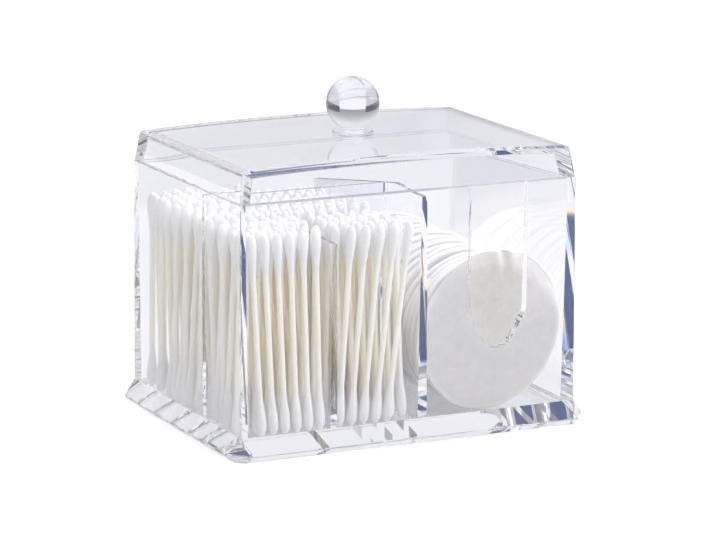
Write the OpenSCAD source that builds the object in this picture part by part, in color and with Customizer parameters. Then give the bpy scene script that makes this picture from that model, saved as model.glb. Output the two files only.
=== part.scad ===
// Clear cotton swab holder with a lift-off lid, swab cells and a pad compartment.
// Millimetres, +Z up, front towards -Y. The origin is the middle of the underside.

/* [Box] */
// Outer width of the rim
rim_w = 134.6; // [120:0.1:160]
// Outer depth of the rim
rim_d = 98.4; // [88:0.1:125]
// Height of the rim
rim_z = 93.1; // [90:0.1:110]
// How far each outer wall spreads out from the rim down to the foot
wall_spread = 0.54; // [0.2:0.01:1.2]
// Wall thickness at the rim
wall_rim = 2.45; // [2:0.05:3.2]
// Wall thickness at the floor
wall_floor = 4.3; // [3.2:0.05:5]
// Height of the floor's top face
floor_z = 6.8; // [5:0.1:8]

/* [Foot] */
// Height where the wall meets the foot
foot_top_z = 8.4; // [8:0.1:10]
// Height of the foot's widest edge
foot_edge_z = 2.9; // [2:0.1:4]
// How far the widest edge stands out from the wall
foot_flare = 5.2; // [3:0.1:7]
// How far the underside steps back from the widest edge
foot_under = 3.2; // [1.5:0.1:4.5]
// Corner cut at the widest edge
foot_corner = 8; // [5:0.1:10]
// Corner cut at the underside
foot_under_corner = 3; // [1.5:0.1:5]

/* [Dividers] */
// Main divider's thickness at the rim
main_top_t = 2; // [1.6:0.1:2.6]
// Main divider's thickness at the floor
main_floor_t = 3.8; // [3:0.1:4.5]
// Height of the main divider at the front wall
main_front_z = 90.3; // [86:0.1:91]
// Height of the main divider's crest
main_crest_z = 91.8; // [90:0.1:91.9]
// Distance of the crest from the front wall's outer face
main_crest_y = 26; // [24:0.5:34]
// Height of the main divider at the back wall
main_back_z = 83.4; // [80:0.1:90]
// Middle of the cross divider, side to side
cross_y = -14.3; // [-20:0.1:-8]
// Cross divider's thickness at the rim
cross_top_t = 1.8; // [1.4:0.1:2.4]
// Cross divider's thickness at the floor
cross_floor_t = 3.2; // [2.6:0.1:4]
// Height of the cross divider
cross_z = 90.8; // [86:0.1:91.6]
// Thickness of the short divider at its top
short_top_t = 1.2; // [1:0.1:2]
// Thickness of the short divider at the floor
short_floor_t = 2.8; // [2:0.1:3.6]
// Height of the short divider
short_z = 76; // [60:0.5:85]

/* [Finger slot] */
// Width of the finger slot
slot_w = 23.2; // [18:0.1:30]
// Height of the finger slot's lowest point
slot_z = 31.6; // [25:0.1:45]
// Height of the slot's narrowing lower part
slot_taper_h = 16.4; // [15.5:0.1:20]
// Radius of the slot's lowest part
slot_tip_r = 6.5; // [4:0.1:8.5]

/* [Lid] */
// Height of the lid's corners above the rim
lid_corner_h = 11.4; // [9:0.1:14]
// How far the lid's skirt leans in towards the top
lid_lean = 1.6; // [0.8:0.1:3]
// Rise of the domed top above its side edges
lid_dome_h = 1.8; // [1:0.1:3]
// Thickness of the lid's skirt at the rim
skirt_t = 4.9; // [4.2:0.1:6]
// Extra thickness of the skirt at the top
skirt_taper = 0.6; // [0:0.1:1]
// Thickness of the lid's top plate
plate_t = 3.4; // [2.5:0.1:4]
// Depth of the locating lip under the lid
lip_h = 0.9; // [0.6:0.1:1]
// Clearance between the lip and the box
lip_clear = 0.3; // [0.2:0.05:0.5]

/* [Knob] */
// Diameter of the ball
ball_d = 20; // [14:0.1:26]
// Height of the ball's top above the lid
knob_h = 21.4; // [17:0.1:28]
// Diameter of the neck under the ball
neck_d = 8.6; // [6:0.1:11]
// Diameter of the collar
collar_d = 15.2; // [12.5:0.1:20]
// Thickness of the collar
collar_t = 0.9; // [0.6:0.1:2]
// Rise of the flat seat on the lid under the collar
seat_h = 0.3; // [0.2:0.05:0.6]

/* [Swabs] */
// Length of a swab
swab_l = 74.4; // [65:0.1:77]
// Diameter of the stick
stick_d = 2.1; // [1.6:0.1:3]
// Diameter of the cotton bud
bud_d = 4.3; // [3.6:0.1:6]
// Length of the cotton bud
bud_l = 14.5; // [10:0.1:18]
// Gap kept between swabs and to the walls
swab_gap = 0.15; // [0.1:0.05:0.5]
// Least room that the rows of a cell have to fan out at the top
row_fan = 2; // [0.5:0.1:4]

/* [Pads] */
// Diameter of a loose pad; the main divider stands where the squeezed pads just fit
pad_d = 58; // [50:0.1:64]
// How much narrower and how much taller the front pad is squeezed between divider and wall
pad_squeeze = 2; // [0.5:0.1:4]
// Thickness of a pad
pad_t = 3.7; // [2.5:0.1:5]
// Rounding of a pad's edge
pad_round = 1.2; // [0.5:0.1:1.2]
// Turn of the pads in the compartment, right edges forwards, in degrees
pad_turn = 5; // [0:0.5:6]
// Gap kept between pads
pad_gap = 0.1; // [0.1:0.05:0.2]
// Gap kept between a pad's rim and the wall or divider beside it
pad_side_gap = 0.2; // [0.1:0.05:1]

/* [Hidden] */
eps = 0.01;
clear_col = [0.93, 0.93, 0.97, 0.35];
cotton_col = [0.97, 0.97, 0.96];
swab_col = [0.95, 0.93, 0.86];

// Outer half sizes of the box at a height, from the rim's half size
function outer(half, z) = half + wall_spread * (rim_z - z) / (rim_z - foot_top_z);
// Share of the way down from the rim to the floor
function down(z) = (rim_z - z) / (rim_z - floor_z);
// Inner half sizes of the box at a height, from the rim's half size
function inner(half, z) = outer(half, z) - wall_rim - (wall_floor - wall_rim) * down(z);
// A divider's half thickness at a height
function half_t(top_t, floor_t, z) = (top_t + (floor_t - top_t) * down(z)) / 2;

// Lid sizes that follow the box
lid_corner_z = rim_z + lid_corner_h;
lid_top_z = lid_corner_z + lid_dome_h;
lid_half_w = rim_w / 2 - lid_lean;
dome_r = (pow(lid_half_w, 2) + pow(lid_dome_h, 2)) / (2 * lid_dome_h);
seat_z = lid_top_z + seat_h;

// The main divider stands so that the pads just fit between it and the right wall
pad_r = (pad_d - pad_squeeze) / 2;
pad_low_z = floor_z + swab_gap + pad_r;
main_at_pad = half_t(main_top_t, main_floor_t, pad_low_z);
main_x = inner(rim_w / 2, pad_low_z) - 2 * (pad_r + pad_side_gap) - main_at_pad;

// The short divider stands halfway between the left wall and the main divider
left_in = -inner(rim_w / 2, floor_z);
main_left = main_x - half_t(main_top_t, main_floor_t, floor_z);
short_x = (left_in + main_left) / 2;
slot_x = (main_x + inner(rim_w / 2, rim_z)) / 2 + 0.2;

// Swabs stand in rows: [left, right, front, back] of each cell at the floor
front_in = -inner(rim_d / 2, floor_z);
cross_front = cross_y - half_t(cross_top_t, cross_floor_t, floor_z);
cross_back = cross_y + half_t(cross_top_t, cross_floor_t, floor_z);
short_half = half_t(short_top_t, short_floor_t, floor_z);
cell_fl = [left_in, short_x - short_half, front_in, cross_front];
cell_fr = [short_x + short_half, main_left, front_in, cross_front];
cell_b = [left_in, main_left, cross_back, -front_in];

// Free run for swab middles along one side of a cell, and how many fit in it
function free_run(a, b) = b - a - bud_d - 2 * swab_gap;
function fit_count(run) = 1 + floor(run / (bud_d + swab_gap));
// Rows are left out until the rest have room to fan out towards the top
function row_count(cell) = let (run = free_run(cell[2], cell[3]), most = fit_count(run))
    run - (most - 1) * (bud_d + swab_gap) < row_fan ? most - 1 : most;

// Pads stand in a stack from the front wall to the back wall
pad_x = main_x + main_at_pad + pad_side_gap + pad_r;
pad_reach = pad_r * sin(pad_turn) + pad_t / 2 * cos(pad_turn) + swab_gap;
pad_y0 = -inner(rim_d / 2, pad_low_z) + pad_reach;
pad_pitch = (pad_t + pad_gap) / cos(pad_turn);
pad_count = 1 + floor(-2 * pad_y0 / pad_pitch);
pad_step = -2 * pad_y0 / (pad_count - 1);

// Node names: one for each row of swabs and one for each pad
function numbered(name, count) = [for (i = [1:count]) str(name, i < 10 ? "0" : "", i)];
fl_names = numbered("swabs_front_left_", row_count(cell_fl));
fr_names = numbered("swabs_front_right_", row_count(cell_fr));
b_names = numbered("swabs_back_", row_count(cell_b));
pad_names = numbered("pad_", pad_count);

// A symmetric outline from right-hand points [half, z], upwards
function both_sides(p) = concat(p, [for (i = [len(p) - 1:-1:0]) [-p[i][0], p[i][1]]]);

// A symmetric outline in X and Z, run along Y
module along_y(p, run) {
    rotate([90, 0, 0]) linear_extrude(run, center = true) polygon(both_sides(p));
}

// A symmetric outline in Y and Z, run along X
module along_x(p, run) {
    rotate([90, 0, 90]) linear_extrude(run, center = true) polygon(both_sides(p));
}

// A block with one symmetric outline seen from the front and one from the side
module block(front, side) {
    intersection() {
        along_y(front, 2 * rim_w);
        along_x(side, 2 * rim_w);
    }
}

// Half sizes of the foot at its three heights, from the rim's half size
function foot_points(half) = [
    [outer(half, foot_top_z) + foot_flare - foot_under, 0],
    [outer(half, foot_top_z) + foot_flare, foot_edge_z],
    [outer(half, foot_top_z), foot_top_z]
];

// Half sizes of the foot across its corners, the cuts included
function foot_corner_points() = let (a = foot_points(rim_w / 2), b = foot_points(rim_d / 2)) [
    [(a[0][0] + b[0][0] - foot_under_corner) / sqrt(2), 0],
    [(a[1][0] + b[1][0] - foot_corner) / sqrt(2), foot_edge_z],
    [(a[2][0] + b[2][0]) / sqrt(2) + eps, foot_top_z + eps]
];

module foot() {
    intersection() {
        block(foot_points(rim_w / 2), foot_points(rim_d / 2));
        rotate([0, 0, 45]) along_y(foot_corner_points(), 3 * rim_w);
        rotate([0, 0, -45]) along_y(foot_corner_points(), 3 * rim_w);
    }
}

function wall_points(half) = [[outer(half, floor_z - 1), floor_z - 1], [half, rim_z]];
function hollow_points(half) = [
    [inner(half, floor_z), floor_z],
    [inner(half, rim_z + 1), rim_z + 1]
];

module walls() {
    difference() {
        union() {
            block(wall_points(rim_w / 2), wall_points(rim_d / 2));
            foot();
        }
        block(hollow_points(rim_w / 2), hollow_points(rim_d / 2));
    }
}

// A divider's outline across its thickness, rooted in the floor
function divider_points(top_t, floor_t, top_z) = [
    [half_t(top_t, floor_t, floor_z - 1), floor_z - 1],
    [half_t(top_t, floor_t, top_z), top_z]
];

// Outline of the main divider seen from the side: a crest near the front, low at the back
function main_top() = let (
    y0 = -rim_d / 2 + wall_rim / 2,
    crest = -rim_d / 2 + main_crest_y,
    fall = 13,
    n = 6
) concat(
    [[y0, floor_z - 1], [y0, main_front_z]],
    [for (i = [0:n])
        let (s = i / n)
        [crest - fall * (1 - s), main_front_z + (main_crest_z - main_front_z) * (3 - 2 * s) * s * s]],
    [[-y0, main_back_z], [-y0, floor_z - 1]]
);

module main_divider() {
    intersection() {
        translate([main_x, 0, 0])
            along_y(divider_points(main_top_t, main_floor_t, rim_z), rim_d - wall_rim);
        rotate([90, 0, 90])
            translate([0, 0, main_x - main_floor_t])
            linear_extrude(2 * main_floor_t) polygon(main_top());
    }
}

module cross_divider() {
    x0 = -rim_w / 2 + wall_rim / 2;
    translate([(x0 + main_x) / 2, cross_y, 0])
        along_x(divider_points(cross_top_t, cross_floor_t, cross_z), main_x - x0);
}

module short_divider() {
    y0 = -rim_d / 2 + wall_rim / 2;
    translate([short_x, (y0 + cross_y) / 2, 0])
        along_y(divider_points(short_top_t, short_floor_t, short_z), cross_y - y0);
}

// The finger slot's outline: straight sides, then slanting in to a round tip at the bottom
module slot_outline() {
    r = slot_w / 2;
    slant = asin((r - slot_tip_r) / (slot_taper_h - slot_tip_r));
    tip = [slot_tip_r * cos(slant), slot_tip_r * (1 - sin(slant))];
    side = [r * cos(slant), slot_taper_h - r * sin(slant)];
    translate([slot_x, slot_z]) {
        translate([0, slot_tip_r]) circle(r = slot_tip_r, $fn = 96);
        polygon([[-tip[0], tip[1]], tip, side, [-side[0], side[1]]]);
        translate([0, slot_taper_h]) circle(r = r, $fn = 96);
        translate([-r, slot_taper_h]) square([slot_w, rim_z - slot_z]);
    }
}

module body() {
    color(clear_col) difference() {
        union() {
            walls();
            main_divider();
            cross_divider();
            short_divider();
        }
        translate([0, -rim_d / 2 + 2 * wall_floor, 0])
            rotate([90, 0, 0]) linear_extrude(3 * wall_floor) slot_outline();
    }
}

function skirt_points(half) = [[half, rim_z], [half - lid_lean, lid_corner_z]];
function lip_points(half) = [
    [half - wall_rim - lip_clear, rim_z - lip_h],
    [half - wall_rim - lip_clear, rim_z + 1]
];
function lid_hollow_points(half) = [
    [half - skirt_t, rim_z - lip_h - 1],
    [half - skirt_t, rim_z],
    [half - lid_lean - skirt_t - skirt_taper, lid_corner_z]
];

// The space under a dome that is drop lower than the lid's outer face
module under_dome(drop) {
    translate([0, 0, lid_top_z - drop - dome_r])
        rotate([90, 0, 0]) cylinder(r = dome_r, h = 2 * rim_d, center = true, $fn = 256);
}

// Points from the skirt's line carried on past the corner, so the dome trims the top
function carried_up(p) = let (a = p[len(p) - 2], b = p[len(p) - 1], k = lid_dome_h + 0.5)
    concat(p, [[b[0] + (b[0] - a[0]) / (b[1] - a[1]) * k, b[1] + k]]);

module lid() {
    color(clear_col) difference() {
        union() {
            intersection() {
                block(carried_up(skirt_points(rim_w / 2)), carried_up(skirt_points(rim_d / 2)));
                under_dome(0);
            }
            block(lip_points(rim_w / 2), lip_points(rim_d / 2));
            translate([0, 0, lid_top_z - 1]) cylinder(d = collar_d + 0.8, h = 1 + seat_h, $fn = 96);
        }
        intersection() {
            block(
                carried_up(lid_hollow_points(rim_w / 2)),
                carried_up(lid_hollow_points(rim_d / 2))
            );
            under_dome(plate_t);
        }
    }
}

module knob() {
    ball_z = lid_top_z + knob_h - ball_d / 2;
    color(clear_col) {
        translate([0, 0, seat_z]) cylinder(d = collar_d, h = collar_t, $fn = 96);
        translate([0, 0, seat_z]) cylinder(d = neck_d, h = ball_z - seat_z, $fn = 96);
        translate([0, 0, ball_z]) sphere(d = ball_d, $fn = 96);
    }
}

// Half a swab's outline [radius, distance from the tip], as shares of the bud's size
bud_shape = [[0.52, 0.03], [0.92, 0.15], [1, 0.4]];

module swab() {
    tip = [for (p = bud_shape) [p[0] * bud_d / 2, p[1] * bud_l]];
    half = concat([[0, 0]], tip, [[stick_d / 2, bud_l]]);
    flip = [for (i = [len(half) - 1:-1:0]) [half[i][0], swab_l - half[i][1]]];
    rotate_extrude($fn = 24) polygon(concat(half, flip));
}

// Row j of leaning swabs: even rows lean the first way and odd rows the other
module swab_row(cell, first_lean, first_spare, j) {
    run_x = free_run(cell[0], cell[1]);
    run_y = free_run(cell[2], cell[3]);
    rows = row_count(cell);
    // Rows stand close in the middle of the floor and spread over the whole run at the top
    packed = (rows - 1) * (bud_d + swab_gap);
    foot_y = (run_y - packed) / 2 + j * (bud_d + swab_gap);
    tip_y = j * run_y / max(1, rows - 1);
    // A row that leans more holds fewer swabs
    spare = [1, 0, 2, 1, 0][(j + first_spare) % 5];
    n = max(2, fit_count(run_x) - spare);
    width = (n - 1) * (bud_d + swab_gap);
    way = first_lean * (j % 2 == 0 ? 1 : -1);
    for (i = [0:n - 1]) {
        foot_x = fan(i, n, width, run_x, -way, j);
        tip_x = fan(i, n, width, run_x, way, j + 3);
        translate([
            cell[0] + bud_d / 2 + swab_gap + foot_x,
            cell[2] + bud_d / 2 + swab_gap + foot_y,
            floor_z + swab_gap
        ]) rotate([atan((foot_y - tip_y) / swab_l), atan((tip_x - foot_x) / swab_l), 0]) swab();
    }
}

// Place of swab i in a row of n: pushed to one side of the run, with some slack let in
function fan(i, n, width, run_x, way, k) = let (
    slack = run_x - width,
    spread = slack * [0.15, 0.4, 0.25, 0.55, 0.3, 0.1, 0.45][k % 7]
) (way > 0 ? slack - spread : 0) + i * (width + spread) / (n - 1);

module swabs_front_left(j) {
    color(swab_col) swab_row(cell_fl, -1, 0, j);
}

module swabs_front_right(j) {
    color(swab_col) swab_row(cell_fr, 1, 2, j);
}

module swabs_back(j) {
    color(swab_col) swab_row(cell_b, -1, 0, j);
}

// Half a pad's outline across its thickness, from the middle out
function pad_points() = let (
    edge = [[pad_r - pad_round, 0], [pad_r - pad_round * 0.3, pad_t * 0.12], [pad_r, pad_t * 0.38]]
) concat(edge, [for (k = [2:-1:0]) [edge[k][0], pad_t - edge[k][1]]]);

// A pad lying flat: two half discs with a straight stretch between them, as it is squeezed
module flat_pad(squeeze) {
    half = pad_points();
    for (side = [0, 180])
        rotate([0, 0, side]) translate([0, squeeze, 0])
            rotate_extrude(angle = 180, $fn = 96) polygon(concat([[0, 0]], half, [[0, pad_t]]));
    rotate([90, 0, 0]) linear_extrude(2 * squeeze, center = true)
        polygon(concat(half, [for (k = [len(half) - 1:-1:0]) [-half[k][0], half[k][1]]]));
}

// The front pad is squeezed tallest, and the rest of the stack less
module pad(i) {
    squeeze = pad_squeeze * (i == 0 ? 1 : [0.15, 0.4, 0.2, 0.3][i % 4]);
    color(cotton_col)
        translate([pad_x, pad_y0 + i * pad_step, pad_low_z + squeeze])
        rotate([0, 0, -pad_turn]) rotate([90, 0, 0]) translate([0, 0, -pad_t / 2]) flat_pad(squeeze);
}

body();
lid();
knob();
for (j = [0:len(fl_names) - 1]) swabs_front_left(j);
for (j = [0:len(fr_names) - 1]) swabs_front_right(j);
for (j = [0:len(b_names) - 1]) swabs_back(j);
for (i = [0:pad_count - 1]) pad(i);
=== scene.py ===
import logging
import math
import random
from dataclasses import dataclass
from enum import Enum
from typing import Callable, Sequence

import bmesh
import bpy
from bpy.types import Material, Mesh, Node, NodeSocket, NodeTree, Object
from mathutils import Matrix, Vector, noise

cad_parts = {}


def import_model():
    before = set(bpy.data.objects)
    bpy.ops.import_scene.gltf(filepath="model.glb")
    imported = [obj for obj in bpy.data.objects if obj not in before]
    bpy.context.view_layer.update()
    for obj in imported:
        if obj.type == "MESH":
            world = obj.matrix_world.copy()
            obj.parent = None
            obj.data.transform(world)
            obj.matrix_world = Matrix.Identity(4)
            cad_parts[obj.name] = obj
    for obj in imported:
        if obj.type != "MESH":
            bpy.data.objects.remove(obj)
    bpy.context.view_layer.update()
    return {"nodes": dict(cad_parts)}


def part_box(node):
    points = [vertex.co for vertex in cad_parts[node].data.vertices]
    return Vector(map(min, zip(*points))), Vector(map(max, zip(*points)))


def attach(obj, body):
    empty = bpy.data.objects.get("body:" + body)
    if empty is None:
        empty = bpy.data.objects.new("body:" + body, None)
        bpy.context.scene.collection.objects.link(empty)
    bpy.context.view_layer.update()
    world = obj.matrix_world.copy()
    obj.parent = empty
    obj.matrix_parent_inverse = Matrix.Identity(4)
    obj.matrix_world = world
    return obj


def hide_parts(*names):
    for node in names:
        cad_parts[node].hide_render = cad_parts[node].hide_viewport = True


LOG = logging.getLogger("swab_holder")
MM = 0.001
Colour = tuple[float, float, float, float]
Steps = tuple[float, float]
Outline = list[tuple[float, float]]


class Body(Enum):
    """The moving parts that a piece can ride on."""

    BOX = "box"
    LID = "lid"


class Slot(Enum):
    """The record's finishes that a piece can take."""

    CLEAR_BOX = "clear_box"
    CLEAR_LID = "clear_lid"
    CLEAR_KNOB = "clear_knob"
    SWAB = "swab"
    PAD = "pad"


class Graph:
    """A node tree being filled in, with one short call for each kind of node used here."""

    def __init__(self, tree: NodeTree) -> None:
        """Keeps the tree that the calls add to.

        Args:
            tree: the node tree of a material, a group or the world.
        """
        self.tree = tree

    def node(self, kind: str, settings: dict[str, object] | None = None, **inputs: object) -> Node:
        """Adds a node and fills in its sockets.

        Args:
            kind: the node's type name.
            settings: properties of the node itself.
            inputs: a value or another node's socket for each input, spaces written as underscores.

        Returns:
            The new node.
        """
        made = self.tree.nodes.new(kind)
        for name, value in (settings or {}).items():
            setattr(made, name, value)
        for name, value in inputs.items():
            self.feed(made, name.replace("_", " "), value)
        return made

    def feed(self, node: Node, name: str | int, value: object) -> None:
        """Puts a value or a link into one input.

        Args:
            node: the node that takes it.
            name: the input's name or place.
            value: a plain value, or the socket to link from.
        """
        if isinstance(value, NodeSocket):
            self.tree.links.new(value, node.inputs[name])
        else:
            node.inputs[name].default_value = value

    def maths(self, operation: str, a: object, b: object = 0.0, clamp: bool = False) -> NodeSocket:
        """Adds a Math node.

        Args:
            operation: the sum to do.
            a: first value or socket.
            b: second value or socket.
            clamp: whether the result stays between 0 and 1.

        Returns:
            The result's socket.
        """
        made = self.tree.nodes.new("ShaderNodeMath")
        made.operation, made.use_clamp = operation, clamp
        self.feed(made, 0, a)
        self.feed(made, 1, b)
        return made.outputs[0]

    def join(self, operation: str, first: object, *others: object) -> NodeSocket:
        """Runs several values through the same sum, one after another.

        Args:
            operation: the sum to do.
            first: the value it starts from.
            others: the values it goes on with.

        Returns:
            The result's socket.
        """
        for other in others:
            first = self.maths(operation, first, other)
        return first

    def invert(self, mask: NodeSocket) -> NodeSocket:
        """Turns a mask round, so that 1 becomes 0, and returns its socket."""
        return self.maths("SUBTRACT", 1.0, mask, True)

    def blend(self, share: object, a: object, b: object) -> NodeSocket:
        """Mixes two colours.

        Args:
            share: how much of b shows.
            a: first colour or socket.
            b: second colour or socket.

        Returns:
            The mixed colour's socket.
        """
        made = self.tree.nodes.new("ShaderNodeMix")
        made.data_type = "RGBA"
        for place, value in ((0, share), (6, a), (7, b)):
            self.feed(made, place, value)
        return made.outputs[2]

    def span(self, value: NodeSocket, low: float, high: float, to_low: float = 0.0,
             to_high: float = 1.0, smooth: bool = True) -> NodeSocket:
        """Maps a value from one range to another, held at the ends.

        Args:
            value: the socket to map.
            low: the value that gives to_low.
            high: the value that gives to_high.
            to_low: result at low.
            to_high: result at high.
            smooth: whether the step eases in and out.

        Returns:
            The result's socket.
        """
        made = self.tree.nodes.new("ShaderNodeMapRange")
        made.interpolation_type = "SMOOTHSTEP" if smooth else "LINEAR"
        made.clamp = True
        self.feed(made, "Value", value)
        for name, number in (("From Min", low), ("From Max", high), ("To Min", to_low), ("To Max", to_high)):
            self.feed(made, name, number)
        return made.outputs[0]

    def window(self, value: NodeSocket, rise: Steps, fall: Steps) -> NodeSocket:
        """Maps a value to 1 between two eased steps, and to 0 on both sides of them.

        Args:
            value: the socket to map.
            rise: where it starts and ends rising to 1.
            fall: where it starts and ends falling back to 0.

        Returns:
            The mask's socket.
        """
        return self.maths("MULTIPLY", self.span(value, *rise), self.span(value, *fall, 1.0, 0.0))

    def along(self, place: NodeSocket, way: Vector) -> NodeSocket:
        """How far a place lies along a direction.

        Args:
            place: the place.
            way: the direction.

        Returns:
            The distance's socket.
        """
        made = self.node("ShaderNodeVectorMath", {"operation": "DOT_PRODUCT"})
        self.feed(made, 0, place)
        self.feed(made, 1, tuple(way))
        return made.outputs["Value"]

    def attribute(self, name: str) -> NodeSocket:
        """Reads an attribute of the mesh and returns its socket."""
        return self.node("ShaderNodeAttribute", {"attribute_name": name}).outputs["Fac"]

    def grain(self, place: NodeSocket, scale: object, detail: float = 3.0) -> NodeSocket:
        """Adds noise.

        Args:
            place: coordinates to read.
            scale: how fine the noise is.
            detail: how many finer layers it has.

        Returns:
            The noise's value socket.
        """
        return self.node("ShaderNodeTexNoise", Vector=place, Scale=scale, Detail=detail).outputs["Fac"]


def share(value: float, start: float, reach: float) -> float:
    """How much of a stretch a value has covered, held at its ends.

    Args:
        value: the value.
        start: where the stretch begins.
        reach: how long it is, less than 0 where it runs downwards.

    Returns:
        0 up to the start, 1 from the stretch's end on.
    """
    return max(0.0, min(1.0, (value - start) / reach))


def ease(part: float) -> float:
    """Eases a share in and out."""
    return part * part * (3 - 2 * part)


def grey(value: float) -> Colour:
    """A neutral colour of the given value."""
    return (value, value, value, 1.0)


def make_group(name: str, takes: Sequence[tuple[str, str, float]], gives: Sequence[tuple[str, str]],
               fill: Callable[[Graph, Node, Node], None]) -> NodeTree:
    """Makes a shader node group once, or returns the one already made.

    Args:
        name: the group's name.
        takes: name, socket type and default of each input.
        gives: name and socket type of each output.
        fill: writes the nodes between the group's input and output.

    Returns:
        The group.
    """
    if name in bpy.data.node_groups:
        return bpy.data.node_groups[name]
    group = bpy.data.node_groups.new(name, "ShaderNodeTree")
    for socket, kind, default in takes:
        made = group.interface.new_socket(name=socket, in_out="INPUT", socket_type=kind)
        if kind == "NodeSocketFloat":
            made.default_value = default
    for socket, kind in gives:
        group.interface.new_socket(name=socket, in_out="OUTPUT", socket_type=kind)
    graph = Graph(group)
    fill(graph, graph.node("NodeGroupInput"), graph.node("NodeGroupOutput"))
    return group


def moulded_surface() -> NodeTree:
    """The faint waviness, haze and tint of a moulded clear wall.

    Returns:
        A group that takes coordinates and gives a tint mask, a haze and a height.
    """

    def fill(graph: Graph, start: Node, end: Node) -> None:
        """Writes the group's nodes.

        Args:
            graph: the group's graph.
            start: the group's input.
            end: the group's output.
        """
        place = start.outputs["Place"]
        slow = graph.grain(place, start.outputs["Wave Scale"], 1.0)
        fine = graph.grain(place, start.outputs["Scuff Scale"], 4.0)
        scuffed = graph.span(fine, 0.6, 0.78)
        graph.feed(end, "Tint", graph.span(slow, 0.35, 0.65))
        graph.feed(end, "Haze", graph.maths("MULTIPLY", scuffed, start.outputs["Scuff"]))
        graph.feed(end, "Height", slow)

    return make_group(
        "moulded_surface",
        [("Place", "NodeSocketVector", 0.0), ("Wave Scale", "NodeSocketFloat", 40.0),
         ("Scuff Scale", "NodeSocketFloat", 900.0), ("Scuff", "NodeSocketFloat", 0.02)],
        [("Tint", "NodeSocketFloat"), ("Haze", "NodeSocketFloat"), ("Height", "NodeSocketFloat")],
        fill,
    )


def cotton_fibre() -> NodeTree:
    """Cotton wool: soft clumps crossed by fine curled fibres.

    Returns:
        A group that takes coordinates and gives a shade mask and a height.
    """

    def fill(graph: Graph, start: Node, end: Node) -> None:
        """Writes the group's nodes.

        Args:
            graph: the group's graph.
            start: the group's input.
            end: the group's output.
        """
        place = start.outputs["Place"]
        clump = graph.grain(place, start.outputs["Clump Scale"], 3.0)
        curl = graph.node("ShaderNodeTexNoise", Vector=place, Scale=start.outputs["Fibre Scale"],
                          Detail=4.0, Distortion=1.6).outputs["Fac"]
        strand = graph.maths("ABSOLUTE", graph.maths("SUBTRACT", curl, 0.5))
        ridge = graph.span(strand, 0.0, 0.09, 1.0, 0.0)
        height = graph.maths("ADD", graph.maths("MULTIPLY", clump, 0.7), graph.maths("MULTIPLY", ridge, 0.3))
        graph.feed(end, "Shade", graph.span(height, 0.25, 0.65))
        graph.feed(end, "Height", height)

    return make_group(
        "cotton_fibre",
        [("Place", "NodeSocketVector", 0.0), ("Clump Scale", "NodeSocketFloat", 300.0),
         ("Fibre Scale", "NodeSocketFloat", 1500.0)],
        [("Shade", "NodeSocketFloat"), ("Height", "NodeSocketFloat")],
        fill,
    )


def new_material(name: str) -> tuple[Material, Graph, Node]:
    """Starts a node material with one Principled shader.

    Args:
        name: the material's name.

    Returns:
        The material, its graph and its Principled shader.
    """
    material = bpy.data.materials.new(name)
    material.use_nodes = True
    material.node_tree.nodes.clear()
    graph = Graph(material.node_tree)
    shader = graph.node("ShaderNodeBsdfPrincipled")
    graph.node("ShaderNodeOutputMaterial", Surface=shader.outputs[0])
    return material, graph, shader


def object_place(graph: Graph) -> NodeSocket:
    """Adds the piece's own coordinates and returns their socket."""
    return graph.node("ShaderNodeTexCoord").outputs["Object"]


@dataclass(frozen=True)
class ClearFinish:
    """Clear moulded acrylic: almost colourless, with a faint lavender cast."""

    name: str
    deep: Colour = (0.950, 0.952, 0.983, 1.0)
    pale: Colour = (0.962, 0.963, 0.989, 1.0)
    wave_scale: float = 38.0
    wave: float = 0.02
    wave_depth: float = 1.0 * MM
    scuff: float = 0.004
    ior: float = 1.49

    def build(self) -> Material:
        """Makes the material.

        Returns:
            The clear material.
        """
        material, graph, shader = new_material(self.name)
        group = graph.node("ShaderNodeGroup", {"node_tree": moulded_surface()}, Place=object_place(graph))
        graph.feed(group, "Wave Scale", self.wave_scale)
        graph.feed(group, "Scuff", self.scuff)
        bump = graph.node("ShaderNodeBump", Strength=self.wave, Distance=self.wave_depth,
                          Height=group.outputs["Height"])
        graph.feed(shader, "Base Color", graph.blend(group.outputs["Tint"], self.deep, self.pale))
        graph.feed(shader, "Roughness", group.outputs["Haze"])
        graph.feed(shader, "Normal", bump.outputs["Normal"])
        graph.feed(shader, "IOR", self.ior)
        graph.feed(shader, "Transmission Weight", 1.0)
        return material


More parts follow.
